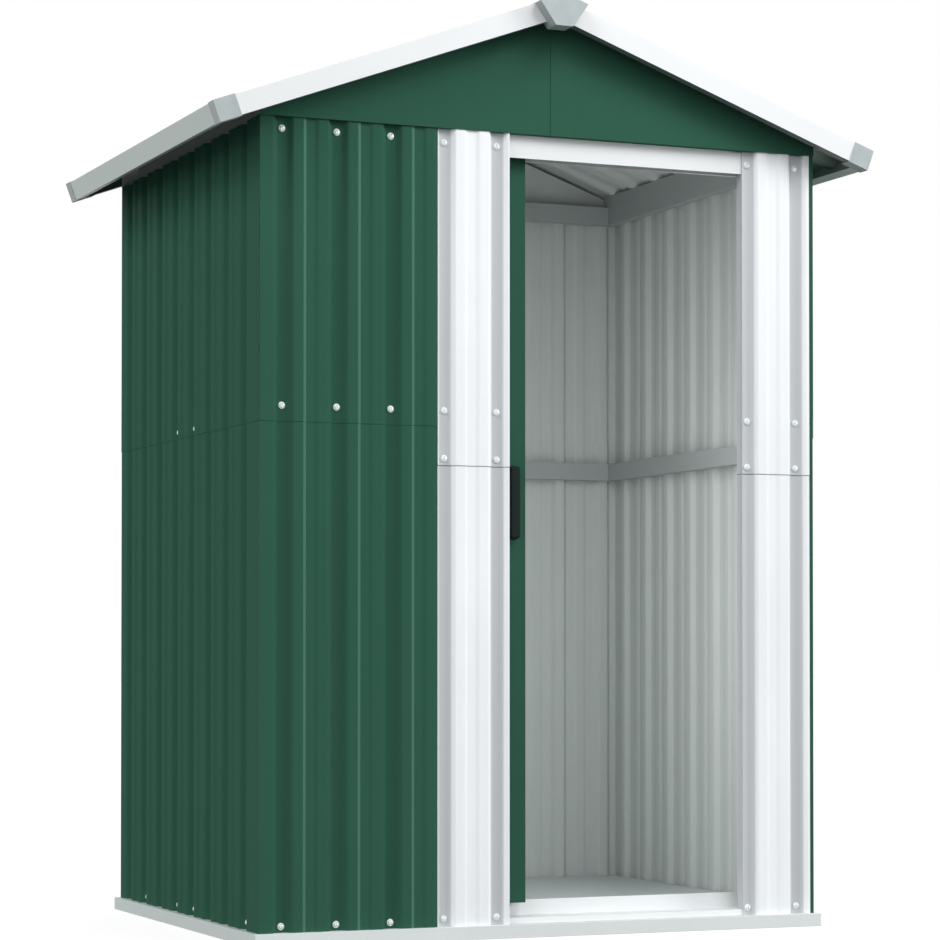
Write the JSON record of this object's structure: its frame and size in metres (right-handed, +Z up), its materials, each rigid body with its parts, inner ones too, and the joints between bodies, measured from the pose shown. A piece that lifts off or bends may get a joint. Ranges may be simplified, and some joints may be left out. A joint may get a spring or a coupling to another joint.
{
  "type": "metal storage shed",
  "caption": "Small hollow garden shed of ribbed steel sheet on a folded frame, with a pitched roof, pale trims and a sideways sliding door.",
  "frame": {"origin": "middle of the shed's plan, on the ground under the floor rails", "axes": "+X to the right seen from the front, +Y towards the back, +Z up"},
  "size_m": [1.3158, 1.022, 1.7103],
  "materials": {
    "green_sheet": "satin dark green paint outside, pale grey inside",
    "white_sheet": "satin white paint",
    "white_trim": "satin white paint",
    "grey_trim": "satin light grey paint",
    "grey_steel": "matt pale grey paint",
    "grey_plastic": "satin light grey",
    "black_plastic": "satin black"
  },
  "bodies": {
    "shed": {"floor_rail_front": "grey_trim", "floor_rail_back": "grey_trim", "floor_rail_left": "grey_trim", "floor_rail_right": "grey_trim", "door_sill_track": "white_trim", "floor_pan": "grey_steel", "front_panel_lower": "green_sheet", "front_panel_upper": "green_sheet", "left_jamb_lower": "white_sheet", "left_jamb_upper": "white_sheet", "right_jamb_lower": "white_sheet", "right_jamb_upper": "white_sheet", "left_wall_lower": "green_sheet", "left_wall_upper": "green_sheet", "right_wall_lower": "green_sheet", "right_wall_upper": "green_sheet", "back_wall_lower": "green_sheet", "back_wall_upper": "green_sheet", "gable_front_left": "green_sheet", "gable_front_right": "green_sheet", "gable_back_left": "green_sheet", "gable_back_right": "green_sheet", "door_track_top": "white_trim", "top_rail_left": "grey_steel", "top_rail_right": "grey_steel", "top_rail_back": "grey_steel", "mid_rail_left": "grey_steel", "mid_rail_right": "grey_steel", "mid_rail_back": "grey_steel", "ridge_beam": "grey_steel", "roof_panel_left": "green_sheet", "roof_panel_right": "green_sheet", "ridge_cover": "white_trim", "verge_trim_front_left": "white_trim", "verge_trim_front_right": "white_trim", "verge_trim_back_left": "white_trim", "verge_trim_back_right": "white_trim", "eave_trim_left": "grey_trim", "eave_trim_right": "grey_trim", "roof_corner_caps": "grey_plastic", "ridge_end_caps": "grey_plastic"},
    "door": {"door_panel": "green_sheet", "door_rails": "grey_steel", "door_handle": "black_plastic", "door_hangers": "black_plastic", "door_guides": "black_plastic"}
  },
  "joints": [
    {"name": "door_slide", "type": "slide", "parent": "shed", "child": "door", "axis": [1, 0, 0], "range_m": [0, 0.443]}
  ]
}
